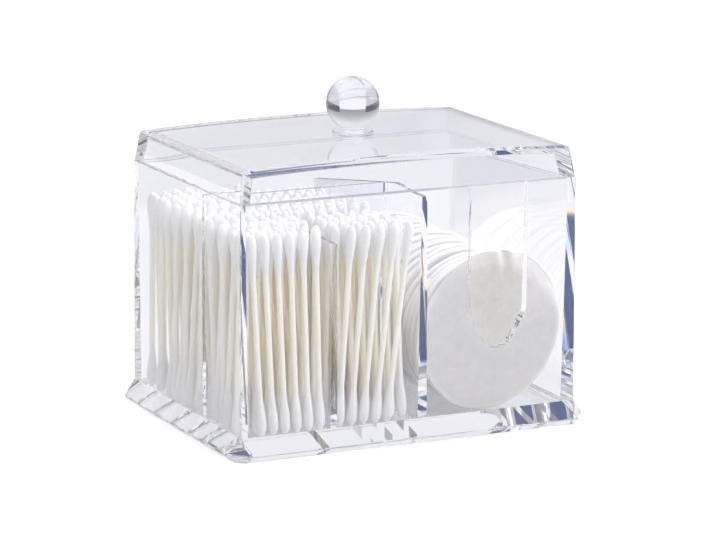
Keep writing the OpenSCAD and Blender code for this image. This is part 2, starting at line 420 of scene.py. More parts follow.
@dataclass(frozen=True)
class SwabFinish:
    """A swab: white cotton at the ends and a cream paper stick between them, the paper painted in a deeper, warmer
    shade inside the bunch.
    """

    name: str = "swab_cotton_and_stick"
    cotton: Colour = (0.93, 0.927, 0.92, 1.0)
    cotton_low: Colour = (0.86, 0.857, 0.845, 1.0)
    stick: Colour = (0.93, 0.92, 0.86, 1.0)
    # Painted shade: the paper's colour deep inside the bunch, darker and warmer than the stick's own.
    stick_shaded: Colour = (0.90, 0.84, 0.68, 1.0)
    clump_scale: float = 700.0
    fibre_scale: float = 2200.0
    paper_scale: float = 1200.0
    fluff: float = 0.35
    fluff_depth: float = 0.4 * MM

    def build(self) -> Material:
        """Makes the material, which reads the cotton and shade_and_grain-driving tone attributes of the mesh; the
        second paints the sticks darker and warmer inside the bunch, as painted shade, with a little random variation.

        Returns:
            The swab material.
        """
        material, graph, shader = new_material(self.name)
        place = object_place(graph)
        wool = graph.node("ShaderNodeGroup", {"node_tree": cotton_fibre()}, Place=place)
        graph.feed(wool, "Clump Scale", self.clump_scale)
        graph.feed(wool, "Fibre Scale", self.fibre_scale)
        on_bud, tone = graph.attribute("cotton"), graph.attribute("tone")
        paper = graph.grain(place, self.paper_scale, 2.0)
        # Painted shade inside the bunch, with a little random variation and paper grain, sets how much of the shaded
        # paper shows.
        shade_and_grain = graph.maths("ADD", graph.maths("MULTIPLY", tone, 0.85), graph.maths("MULTIPLY", paper, 0.2), True)
        stick = graph.blend(shade_and_grain, self.stick, self.stick_shaded)
        bud = graph.blend(wool.outputs["Shade"], self.cotton_low, self.cotton)
        height = graph.maths("MULTIPLY", wool.outputs["Height"], on_bud)
        bump = graph.node("ShaderNodeBump", Strength=self.fluff, Distance=self.fluff_depth, Height=height)
        graph.feed(shader, "Base Color", graph.blend(on_bud, stick, bud))
        graph.feed(shader, "Roughness", graph.span(on_bud, 0.0, 1.0, 0.62, 0.95, False))
        graph.feed(shader, "Normal", bump.outputs["Normal"])
        graph.feed(shader, "Sheen Weight", 0.15)
        graph.feed(shader, "Sheen Roughness", 0.6)
        graph.feed(shader, "Specular IOR Level", 0.25)
        return material


@dataclass(frozen=True)
class PadFinish:
    """A cotton pad: matt felted cotton with a faint pressed texture, and a rim painted paler all round as a painted
    highlight.
    """

    name: str = "pad_felted_cotton"
    high: Colour = (0.71, 0.695, 0.675, 1.0)
    low: Colour = (0.63, 0.615, 0.597, 1.0)
    # Painted highlight: the paler colour painted along the pad's rim.
    edge: Colour = (0.78, 0.77, 0.755, 1.0)
    clump_scale: float = 260.0
    fibre_scale: float = 1300.0
    fluff: float = 0.3
    fluff_depth: float = 0.6 * MM

    def build(self) -> Material:
        """Makes the material, which reads the rim attribute of the mesh and paints the rim paler, a painted
        highlight.

        Returns:
            The pad material.
        """
        material, graph, shader = new_material(self.name)
        wool = graph.node("ShaderNodeGroup", {"node_tree": cotton_fibre()}, Place=object_place(graph))
        graph.feed(wool, "Clump Scale", self.clump_scale)
        graph.feed(wool, "Fibre Scale", self.fibre_scale)
        bump = graph.node("ShaderNodeBump", Strength=self.fluff, Distance=self.fluff_depth,
                          Height=wool.outputs["Height"])
        felt = graph.blend(wool.outputs["Shade"], self.low, self.high)
        # Painted highlight: the rim attribute blends in the paler rim colour.
        graph.feed(shader, "Base Color", graph.blend(graph.attribute("rim"), felt, self.edge))
        graph.feed(shader, "Roughness", graph.span(wool.outputs["Height"], 0.0, 1.0, 0.98, 0.88, False))
        graph.feed(shader, "Normal", bump.outputs["Normal"])
        graph.feed(shader, "Sheen Weight", 0.2)
        graph.feed(shader, "Sheen Roughness", 0.7)
        graph.feed(shader, "Specular IOR Level", 0.15)
        return material


def make_object(name: str, form: bmesh.types.BMesh) -> Object:
    """Turns a form into an object of the scene.

    Args:
        name: the object's name.
        form: its shape in metres. It is freed.

    Returns:
        The object.
    """
    mesh = bpy.data.meshes.new(name)
    form.to_mesh(mesh)
    form.free()
    made = bpy.data.objects.new(name, mesh)
    bpy.context.scene.collection.objects.link(made)
    return made


def finish_piece(name: str, form: bmesh.types.BMesh, material: Material, body: Body, slot: Slot,
                 *nodes: str) -> Object:
    """Turns a finished form into a piece that stands for CAD nodes.

    Args:
        name: the piece's name.
        form: its shape in metres. It is freed.
        material: its finish.
        body: what it rides on.
        slot: the record's finish that it takes; not used.
        nodes: the CAD nodes it stands for.

    Returns:
        The piece.
    """
    bmesh.ops.recalc_face_normals(form, faces=form.faces)
    piece = make_object(name, form)
    piece.data.materials.append(material)
    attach(piece, body.value)
    if nodes:
        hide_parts(*nodes)
    return piece


def merged_copy(solid: Object) -> bmesh.types.BMesh:
    """A copy of a CAD node's shape with its loose triangles joined.

    Args:
        solid: the CAD node.

    Returns:
        The joined shape, in metres.
    """
    form = bmesh.new()
    form.from_mesh(solid.data)
    bmesh.ops.remove_doubles(form, verts=form.verts, dist=2e-6)
    return form


def turned(outline: Sequence[tuple[float, float]], steps: int, merge: float) -> bmesh.types.BMesh:
    """Spins an outline once round the upright axis.

    Args:
        outline: radius and height of each point, starting and ending on the axis.
        steps: how many faces go round.
        merge: points closer than this are joined.

    Returns:
        The closed shape.
    """
    form = bmesh.new()
    verts = [form.verts.new((radius, 0.0, height)) for radius, height in outline]
    edges = [form.edges.new(pair) for pair in zip(verts, verts[1:])]
    bmesh.ops.spin(form, geom=verts + edges, cent=(0, 0, 0), axis=(0, 0, 1), dvec=(0, 0, 0),
                   angle=math.tau, steps=steps, use_merge=True)
    bmesh.ops.remove_doubles(form, verts=form.verts, dist=merge)
    return form


def arc(middle: tuple[float, float], radius: float, first: float, last: float, steps: int = 3) -> Outline:
    """Points of an outline along an arc.

    Args:
        middle: radius and height of the arc's own middle.
        radius: the arc's radius.
        first: the angle that it starts at, in degrees.
        last: the angle that it ends at.
        steps: how many parts it has.

    Returns:
        Radius and height of each point.
    """
    angles = [math.radians(first + (last - first) * k / steps) for k in range(steps + 1)]
    return [(middle[0] + radius * math.cos(a), middle[1] + radius * math.sin(a)) for a in angles]


def round_off(form: bmesh.types.BMesh, edges: list[bmesh.types.BMEdge], size: float, segments: int = 3) -> None:
    """Rounds edges of a form.

    Args:
        form: the form, changed in place.
        edges: the edges to round.
        size: how far the rounding reaches from the edge.
        segments: how many faces it has.
    """
    bmesh.ops.bevel(form, geom=edges, offset=size, offset_type="OFFSET", segments=segments, profile=0.5,
                    affect="EDGES", clamp_overlap=True, material=-1)


def random_shift(chance: random.Random, reach: float) -> Vector:
    """A random place in the noise, so that no two pieces have the same bumps."""
    return Vector((chance.random(), chance.random(), chance.random())) * reach


@dataclass
class ClearBox:
    """The box in one moulding: floor, four walls, flared foot and three dividers."""

    solids: dict[str, Object]
    foot_round: float = 0.5 * MM
    wall_round: float = 0.35 * MM
    divider_round: float = 0.15 * MM
    foot_top: float = 9.0 * MM
    inner_w: float = 63.0 * MM
    inner_d: float = 45.0 * MM
    slot_clear: float = 2.0 * MM
    join_gap: float = 0.03 * MM
    flat_angle: float = 0.6

    def on_wall(self, vert: bmesh.types.BMVert) -> bool:
        """Whether a corner of the mesh belongs to an outer wall."""
        return abs(vert.co.x) > self.inner_w or abs(vert.co.y) > self.inner_d

    def on_slot(self, vert: bmesh.types.BMVert) -> bool:
        """Whether a corner of the mesh lies on the finger slot in the front wall, which stays crisp."""
        return vert.co.y < -self.inner_d and 0 < vert.co.x < self.inner_w - self.slot_clear

    def round_edges(self, form: bmesh.types.BMesh, pick: Callable[[bmesh.types.BMEdge], bool], size: float,
                    least: float) -> None:
        """Rounds the outward edges that a rule picks.

        Args:
            form: the box, changed in place.
            pick: says whether an edge is to be rounded.
            size: how far the rounding reaches from the edge.
            least: least angle between an edge's two faces, in degrees.
        """
        edges = [edge for edge in form.edges if len(edge.link_faces) == 2
                 and edge.calc_face_angle_signed() > math.radians(least) and pick(edge)]
        round_off(form, edges, size)

    def build(self) -> Object:
        """Rounds the edges of the moulding, the foot's the most, and dresses it.

        Returns:
            The box.
        """
        form = merged_copy(self.solids["body"])
        bmesh.ops.remove_doubles(form, verts=form.verts, dist=self.join_gap)
        bmesh.ops.dissolve_limit(form, angle_limit=math.radians(self.flat_angle), verts=form.verts, edges=form.edges)
        self.round_edges(form, lambda e: max(v.co.z for v in e.verts) < self.foot_top, self.foot_round, 20.0)
        self.round_edges(form, lambda e: max(v.co.z for v in e.verts) > self.foot_top
                         and all(self.on_wall(v) and not self.on_slot(v) for v in e.verts), self.wall_round, 35.0)
        self.round_edges(form, lambda e: min(v.co.z for v in e.verts) > self.foot_top
                         and not all(self.on_wall(v) for v in e.verts), self.divider_round, 35.0)
        return finish_piece("clear_box", form, ClearFinish("clear_box").build(), Body.BOX, Slot.CLEAR_BOX, "body")


@dataclass
class ClearLid:
    """The lid: a thick skirt, a lightly domed plate, a locating lip and a round seat on top. Sizes in mm."""

    half_w: float = 67.3
    half_d: float = 49.2
    rim_z: float = 93.1
    joint: float = 0.06
    corner_h: float = 11.4
    lean: float = 1.6
    dome_h: float = 1.8
    skirt_t: float = 4.9
    skirt_taper: float = 0.6
    plate_t: float = 3.4
    lip_h: float = 0.9
    lip_in: float = 2.75
    seat_d: float = 16.0
    seat_h: float = 0.3
    seat_root: float = 1.0
    across: int = 64
    deep: int = 1
    top_round: float = 0.9
    edge_round: float = 0.4
    edge_band: float = 2.0
    skirt_band: float = 5.0

    def dome_z(self, x: float, drop: float = 0.0) -> float:
        """Height of the domed top at x, or of the same dome a little lower.

        Args:
            x: distance from the middle.
            drop: how much lower the dome is.

        Returns:
            The height in mm.
        """
        half = self.half_w - self.lean
        radius = (half * half + self.dome_h * self.dome_h) / (2 * self.dome_h)
        return self.rim_z + self.corner_h + self.dome_h - drop - radius + math.sqrt(radius * radius - x * x)

    def on_skirt(self, u: float, v: float, inset: float, lean: float, drop: float) -> Vector:
        """A point of the top or the under side, whose edges follow the leaning skirt.

        Args:
            u: share of the half width.
            v: share of the half depth.
            inset: how far the face's skirt stands inside the outer one at the rim.
            lean: how far that skirt leans in up to the corner's height.
            drop: how far the dome is lowered.

        Returns:
            The point in mm.
        """
        half = self.half_w - inset
        side_lean = lean * (self.dome_z(half - lean, drop) - self.rim_z) / self.corner_h
        end_lean = lean * (self.dome_z(u * (half - lean), drop) - self.rim_z) / self.corner_h
        x = u * (half - side_lean)
        return Vector((x, v * (self.half_d - inset - end_lean), self.dome_z(x, drop)))

    def place(self, u: float, v: float, level: int) -> Vector:
        """Where a point of the unit layout goes.

        Args:
            u: share of the half width.
            v: share of the half depth.
            level: 0 for the top, then down the skirt, round the lip and up to 6 for the under side.

        Returns:
            The point in mm.
        """
        if level == 0:
            return self.on_skirt(u, v, 0.0, self.lean, 0.0)
        if level == 6:
            return self.on_skirt(u, v, self.skirt_t, self.lean + self.skirt_taper, self.plate_t)
        foot = self.rim_z + self.joint
        inset, z = ((0.0, foot), (self.lip_in, foot), (self.lip_in, self.rim_z - self.lip_h),
                    (self.skirt_t, self.rim_z - self.lip_h), (self.skirt_t, self.rim_z))[level - 1]
        return Vector((u * (self.half_w - inset), v * (self.half_d - inset), z))

    def layout(self) -> bmesh.types.BMesh:
        """The lid's faces in a unit layout: the plate's two sides, joined round the edge by the skirt and lip.

        Returns:
            The layout, with each point's level as its height.
        """
        form = bmesh.new()
        bmesh.ops.create_grid(form, x_segments=self.across, y_segments=self.deep, size=1.0)
        edge = [e for e in form.edges if e.is_boundary]
        for _ in range(6):
            grown = bmesh.ops.extrude_edge_only(form, edges=edge)["geom"]
            bmesh.ops.translate(form, verts=[g for g in grown if isinstance(g, bmesh.types.BMVert)], vec=(0, 0, 1))
            edge = [g for g in grown if isinstance(g, bmesh.types.BMEdge) and g.is_boundary]
        under = bmesh.ops.create_grid(form, x_segments=self.across, y_segments=self.deep, size=1.0)["verts"]
        bmesh.ops.translate(form, verts=under, vec=(0, 0, 6))
        bmesh.ops.remove_doubles(form, verts=form.verts, dist=1e-5)
        return form

    def is_upper(self, edge: bmesh.types.BMEdge) -> bool:
        """Tells the edges of the outside from those round the lip and the under side.

        Args:
            edge: an edge of the lid, in mm.

        Returns:
            Whether it is one of the top's outer edges or an outer corner of the skirt.
        """
        wide, deep = self.half_w - self.lean - self.edge_band, self.half_d - self.lean - self.edge_band
        outer = all(abs(v.co.x) > wide or abs(v.co.y) > deep for v in edge.verts)
        return outer and max(v.co.z for v in edge.verts) > self.rim_z + self.skirt_band

    def add_seat(self, lid: Object) -> None:
        """Joins the round seat under the knob to the top.

        Args:
            lid: the lid without its seat, in metres. Its mesh is changed.
        """
        tall = self.seat_h + self.seat_root
        middle = self.rim_z + self.corner_h + self.dome_h + self.seat_h - tall / 2
        form = bmesh.new()
        bmesh.ops.create_cone(form, cap_ends=True, segments=64, radius1=self.seat_d / 2, radius2=self.seat_d / 2,
                              depth=tall)
        bmesh.ops.translate(form, verts=form.verts, vec=(0, 0, middle))
        bmesh.ops.scale(form, verts=form.verts, vec=(MM, MM, MM))
        seat = make_object("seat", form)
        union = lid.modifiers.new("seat", "BOOLEAN")
        union.operation, union.solver, union.object = "UNION", "EXACT", seat
        bpy.context.view_layer.update()
        joined = bpy.data.meshes.new_from_object(lid.evaluated_get(bpy.context.evaluated_depsgraph_get()))
        lid.modifiers.remove(union)
        plain, lid.data = lid.data, joined
        bpy.data.meshes.remove(plain)
        bpy.data.objects.remove(seat)
        lid.data.name = lid.name

    def build(self) -> Object:
        """Builds the lid, rounds its edges and dresses it.

        Returns:
            The lid.
        """
        form = self.layout()
        for vert in form.verts:
            vert.co = self.place(vert.co.x, vert.co.y, round(vert.co.z))
        bmesh.ops.recalc_face_normals(form, faces=form.faces)
        for size, steps, upper in ((self.top_round, 1, True), (self.edge_round, 3, False)):
            sharp = [e for e in form.edges if e.calc_face_angle(0.0) > math.radians(30) and self.is_upper(e) == upper]
            round_off(form, sharp, size, steps)
        bmesh.ops.scale(form, verts=form.verts, vec=(MM, MM, MM))
        lid = finish_piece("clear_lid", form, ClearFinish("clear_lid").build(), Body.LID, Slot.CLEAR_LID, "lid")
        self.add_seat(lid)
        lid.data.shade_smooth()
        lid.data.set_sharp_from_angle(angle=math.radians(40))
        lid.modifiers.new("flat_faces", "WEIGHTED_NORMAL").keep_sharp = True
        return lid


@dataclass
class Knob:
    """The clear ball on its neck and collar, turned in one piece. Sizes in mm."""

    seat_z: float = 106.6
    joint: float = 0.05
    top_z: float = 127.7
    ball_r: float = 10.0
    neck_r: float = 4.3
    collar_r: float = 7.6
    collar_t: float = 0.9
    corner: float = 0.3
    fillet: float = 0.5
    land: float = 0.1
    ball_steps: int = 44
    steps: int = 96

    def outline(self) -> Outline:
        """The turned outline from the middle of the underside up to the top of the ball.

        Returns:
            Radius and height of each point, in mm.
        """
        low, high, c = self.seat_z + self.joint, self.seat_z + self.collar_t, self.corner
        collar, neck = self.collar_r - c, self.neck_r + self.fillet
        throat = self.neck_r + self.fillet / 2
        meet = math.degrees(math.atan2(-math.sqrt(self.ball_r ** 2 - throat ** 2), throat))
        under = [(0.0, low), (collar - self.land, low)]
        rim = arc((collar, low + c), c, -90, 0) + arc((collar, high - c), c, 0, 90)
        root = [(neck + self.land, high)] + arc((neck, high + self.fillet), self.fillet, -90, -180)
        return under + rim + root + arc((0.0, self.top_z - self.ball_r), self.ball_r, meet, 90, self.ball_steps)

    def build(self) -> Object:
        """Turns the outline round the middle and dresses it.

        Returns:
            The knob.
        """
        form = turned([(max(r, 0.0) * MM, z * MM) for r, z in self.outline()], self.steps, 1e-6)
        knob = finish_piece("clear_knob", form, ClearFinish("clear_knob").build(), Body.LID, Slot.CLEAR_KNOB, "knob")
        knob.data.shade_smooth()
        knob.data.set_sharp_from_angle(angle=math.radians(50))
        return knob


@dataclass
class SwabCell:
    """The swabs that stand in one cell, one mesh for each row."""

    label: str
    solids: dict[str, Object]
    finish: Material
    seed: int
    stick_d: float = 2.1 * MM
    bud_d: float = 4.3 * MM
    bud_l: float = 14.5 * MM
    sides: int = 10
    slim: float = 0.93
    outer: float = 5.0 * MM
    uneven: float = 0.06
    fade_start: float = 1.25
    fade: float = 0.5

    def outline(self, length: float) -> Outline:
        """Half a swab's outline from tip to tip.

        Args:
            length: the swab's length.

        Returns:
            Radius and place along the swab of each ring, the tips left out.
        """
        r, s, l = self.slim * self.bud_d / 2, self.stick_d / 2, self.bud_l
        end = [(0.50 * r, 0.03 * l), (0.86 * r, 0.13 * l), (r, 0.3 * l), (0.93 * r, 0.5 * l), (0.72 * r, 0.75 * l),
               (1.04 * s, l), (s, 1.02 * l), (s, 1.3 * l)]
        return end + [(radius, length - along) for radius, along in reversed(end)]

    def axes(self, solid: Object) -> list[tuple[Vector, Vector]]:
        """The two ends of each swab in a CAD row.

        Args:
            solid: the CAD node of the row.

        Returns:
            The lower and the upper tip of each swab.
        """
        form = merged_copy(solid)
        waiting, found = set(form.verts), []
        while waiting:
            island, edge = [], [waiting.pop()]
            while edge:
                vert = edge.pop()
                island.append(vert.co.copy())
                for link in vert.link_edges:
                    other = link.other_vert(vert)
                    if other in waiting:
                        waiting.discard(other)
                        edge.append(other)
            found.append((min(island, key=lambda c: c.z), max(island, key=lambda c: c.z)))
        form.free()
        return sorted(found, key=lambda pair: pair[0].x)

    def add_swab(self, form: bmesh.types.BMesh, low: Vector, high: Vector, inner: float,
                 chance: random.Random) -> None:
        """Turns one swab on its axis, with its cotton wound a little unevenly.

        Args:
            form: the row's mesh, with its cotton and tone layers.
            low: the lower tip.
            high: the upper tip.
            inner: 0 at the edge of the bunch, 1 well inside it, where the paper is painted in deeper shade.
            chance: the row's random numbers.
        """
        length = (high - low).length
        part = turned([(0.0, 0.0)] + self.outline(length) + [(0.0, length)], self.sides, 1e-6)
        cotton, tone = part.verts.layers.float.new("cotton"), part.verts.layers.float.new("tone")
        # Painted shade: the paper is painted darker the deeper the swab stands in the bunch, plus a little random
        # variation.
        shade = inner * chance.uniform(0.4, 1.0) + 0.15 * chance.random()
        shift = random_shift(chance, 50)
        for vert in part.verts:
            near = min(vert.co.z, length - vert.co.z) / self.bud_l
            vert[cotton] = share(near, self.fade_start, -self.fade)
            vert[tone] = shade
            if near < 0.99 and vert.co.xy.length > self.stick_d * 0.55:
                shrink = 1.0 - self.uneven * (0.5 + 0.5 * noise.noise(vert.co * 260 + shift))
                vert.co.x *= shrink
                vert.co.y *= shrink
        turn = Matrix.Rotation(chance.random() * math.tau, 4, "Z")
        lean = (high - low).to_track_quat("Z", "X").to_matrix().to_4x4()
        bmesh.ops.transform(part, matrix=Matrix.Translation(low) @ lean @ turn, verts=part.verts)
        loose = bpy.data.meshes.new("swab_part")
        part.to_mesh(loose)
        part.free()
        form.from_mesh(loose)
        bpy.data.meshes.remove(loose)

    def build(self) -> list[Object]:
        """Builds every row of the cell.

        Returns:
            One piece for each row.
        """
        rows = []
        names = sorted(name for name in self.solids if name.startswith("swabs_" + self.label))
        stand = {name: self.axes(self.solids[name]) for name in names}
        feet = [low for pairs in stand.values() for low, _ in pairs]
        left, right = min(f.x for f in feet), max(f.x for f in feet)
        front, rear = min(f.y for f in feet), max(f.y for f in feet)
        for name, pairs in stand.items():
            chance = random.Random(self.seed + len(rows))
            form = bmesh.new()
            form.verts.layers.float.new("cotton")
            form.verts.layers.float.new("tone")
            for low, high in pairs:
                # How deep the swab stands in the bunch, which sets its painted shade.
                inside = min(low.x - left, right - low.x, low.y - front, rear - low.y)
                self.add_swab(form, low, high, share(inside, 0.0, self.outer), chance)
            row = finish_piece(name + "_dressed", form, self.finish, Body.BOX, Slot.SWAB, name)
            row.data.shade_smooth()
            rows.append(row)
        return rows


@dataclass
class PadStack:
    """Round cotton pads that stand on edge, one behind another. Sizes in mm."""

    solids: dict[str, Object]
    finish: Material
    radius: float = 28.0
    thick: float = 3.7
    turn: float = 5.0
    steps: int = 72
    front_steps: int = 120
    front_lean: float = 0.1
    ragged: float = 0.032
    uneven: float = 0.10
    rim_light_start: float = 0.93
    rim_light_reach: float = 0.05
    crease_x: float = 3.5
    crease_depth: float = 1.6
    lip_left: float = 0.5
    lip_right: float = 6.5
    lip_height: float = 1.3
    brow_drop: float = 2.3
    seed: int = 40

    def outline(self) -> Outline:
        """Half the pad's outline, from the middle of one face to the middle of the other.

        Returns:
            Radius and height of each point.
        """
        r, h = self.radius, self.thick / 2
        face = [(0.0, h - 0.15), (5.0, h - 0.12), (10.0, h - 0.08), (15.0, h - 0.05), (19.0, h - 0.04),
                (22.0, h - 0.04), (24.0, h - 0.06), (25.6, h - 0.1), (26.8, h - 0.16), (r - 0.5, h - 0.26),
                (r - 0.16, h - 0.55), (r - 0.03, h - 1.1)]
        return face + [(a, -b) for a, b in reversed(face)]

    def pleat(self, x: float, y: float) -> float:
        """Height of the small gathered fold at the top of the front pad, and of its rim that leans back.

        Args:
            x: distance to the right of the pad's middle.
            y: distance above it.

        Returns:
            The height in mm.
        """
        reach = ease(share(y, 0.68 * self.radius, 0.26 * self.radius))
        crease = math.exp(-((x - self.crease_x) / 1.2) ** 2)
        lips = math.exp(-((x - self.lip_left) / 2.0) ** 2) + 0.8 * math.exp(-((x - self.lip_right) / 2.2) ** 2)
        brow = ease(share(math.hypot(x, y) / self.radius, 0.8, 0.18) * share(y / self.radius, 0.1, 0.5))
        return reach * (self.lip_height * lips - self.crease_depth * crease) - self.brow_drop * brow

    def build_one(self, name: str, front: bool, chance: random.Random) -> Object:
        """Builds the pad that stands for one CAD pad.

        Args:
            name: the CAD node.
            front: whether it is the front pad, which is creased at the top.
            chance: the stack's random numbers.

        Returns:
            The pad.
        """
        form = turned(self.outline(), self.front_steps if front else self.steps, 1e-4)
        rim = form.verts.layers.float.new("rim")
        low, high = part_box(name)
        tall = (high.z - low.z) / (2 * self.radius * MM)
        lean = self.front_lean if front else chance.uniform(-0.04, 0.08)
        shift = random_shift(chance, 90)
        for vert in form.verts:
            flat, out = Vector((vert.co.x, vert.co.y, 0)), vert.co.xy.length / self.radius
            torn = 0.7 * noise.noise(flat * 0.09 + shift) + 0.3 * noise.noise(flat * 0.35 + shift)
            swell = 0.5 + 0.5 * noise.noise(vert.co * 0.11 + shift * 2)
            # Painted highlight: the rim attribute rises over the outermost part of the pad.
            vert[rim] = share(out, self.rim_light_start, self.rim_light_reach)
            vert.co.z *= 1.0 - self.uneven * swell
            if front and vert.co.z > 0:
                vert.co.z += self.pleat(vert.co.x, vert.co.y) * min(1.0, vert.co.z)
            shrink = 1.0 - self.ragged * out * (0.5 + 0.5 * torn)
            vert.co.x *= shrink
            vert.co.y *= shrink * tall
            vert.co.x += lean * vert.co.y
        upright = Matrix.Rotation(math.radians(-self.turn), 4, "Z") @ Matrix.Rotation(math.radians(90), 4, "X")
        place = Matrix.Translation((low + high) / 2) @ upright @ Matrix.Scale(MM, 4)
        bmesh.ops.transform(form, matrix=place, verts=form.verts)
        pad = finish_piece(name + "_soft", form, self.finish, Body.BOX, Slot.PAD, name)
        pad.data.shade_smooth()
        smooth = pad.modifiers.new("soft_faces", "SUBSURF")
        smooth.levels = smooth.render_levels = 1
        return pad

    def build(self) -> list[Object]:
        """Builds every pad of the stack.

        Returns:
            The pads, front to back.
        """
        chance = random.Random(self.seed)
        names = sorted(name for name in self.solids if name.startswith("pad_"))
        return [self.build_one(name, name == names[0], chance) for name in names]


@dataclass(frozen=True)
class RayKinds:
    """Masks of what a ray has been through on its way to the floor or the world."""

    camera: NodeSocket
    through: NodeSocket
    inside: NodeSocket
    guided: NodeSocket
    bent: NodeSocket
    matt: NodeSocket
    passed: NodeSocket

    @classmethod
    def read(cls, graph: Graph) -> "RayKinds":
        """Reads the masks in a material or the world.

        Args:
            graph: the material's or the world's graph.

        Returns:
            The masks: camera for what the camera sees plainly, through for what comes off gloss or through
            glass, inside for the same with nothing matt on the way, guided for what a clear wall mirrors inside,
            bent for what clear pieces only refract, matt for what lights a matt surface, and passed for the
            number of clear faces on the way.
        """
        path = graph.node("ShaderNodeLightPath").outputs
        passed, mirrored, scattered = path["Transmission Depth"], path["Glossy Depth"], path["Diffuse Depth"]
        sharp = graph.invert(scattered)
        through = graph.maths("MAXIMUM", path["Is Glossy Ray"], path["Is Transmission Ray"])
        return cls(
            camera=path["Is Camera Ray"],
            through=through,
            inside=graph.maths("MULTIPLY", through, sharp),
            guided=graph.join("MULTIPLY", graph.maths("MINIMUM", mirrored, 1.0),
                              graph.maths("MINIMUM", passed, 1.0), sharp),
            bent=graph.join("MULTIPLY", graph.maths("SUBTRACT", passed, 1.0, True), graph.invert(mirrored), sharp),
            matt=graph.maths("MINIMUM", graph.maths("ADD", scattered, path["Is Diffuse Ray"]), 1.0),
            passed=passed,
        )


@dataclass(frozen=True)
class View:
    """Where the photograph was taken from. The floor and the light are laid out along it."""

    heading: float = 25.9
    elevation: float = 12.2
    roll: float = 0.29
    lens: float = 177.99
    sensor: float = 36.0
    distance: float = 1.322
    aim: tuple[float, float, float] = (0.0025, 0.0, 0.0542)

    def ahead(self) -> Vector:
        """The level direction that the camera looks in."""
        h = math.radians(self.heading)
        return Vector((math.sin(h), math.cos(h), 0.0))

    def side(self) -> Vector:
        """The level direction to the right of the view."""
        h = math.radians(self.heading)
        return Vector((math.cos(h), -math.sin(h), 0.0))

    def lean(self, side: float, ahead: float) -> Vector:
        """The direction upwards, leant to the right of the view and away from it.

        Args:
            side: how far it leans to the right.
            ahead: how far it leans away.

        Returns:
            The direction.
        """
        return (self.side() * side + self.ahead() * ahead + Vector((0, 0, 1))).normalized()

    def build(self) -> Object:
        """Makes the camera at the photograph's angle.

        Returns:
            The camera.
        """
        e, roll = math.radians(self.elevation), math.radians(self.roll)
        look = self.ahead() * math.cos(e) + Vector((0, 0, -math.sin(e)))
        right = self.side()
        up = right.cross(look)
        across = right * math.cos(roll) + up * math.sin(roll)
        upright = up * math.cos(roll) - right * math.sin(roll)
        data = bpy.data.cameras.new("camera")
        data.lens, data.sensor_width, data.clip_start, data.clip_end = self.lens, self.sensor, 0.05, 20.0
        camera = bpy.data.objects.new("camera", data)
        turned_to = Matrix((across, upright, -look)).transposed().to_4x4()
        camera.matrix_world = Matrix.Translation(Vector(self.aim) - look * self.distance) @ turned_to
        bpy.context.scene.collection.objects.link(camera)
        bpy.context.scene.camera = camera
        return camera


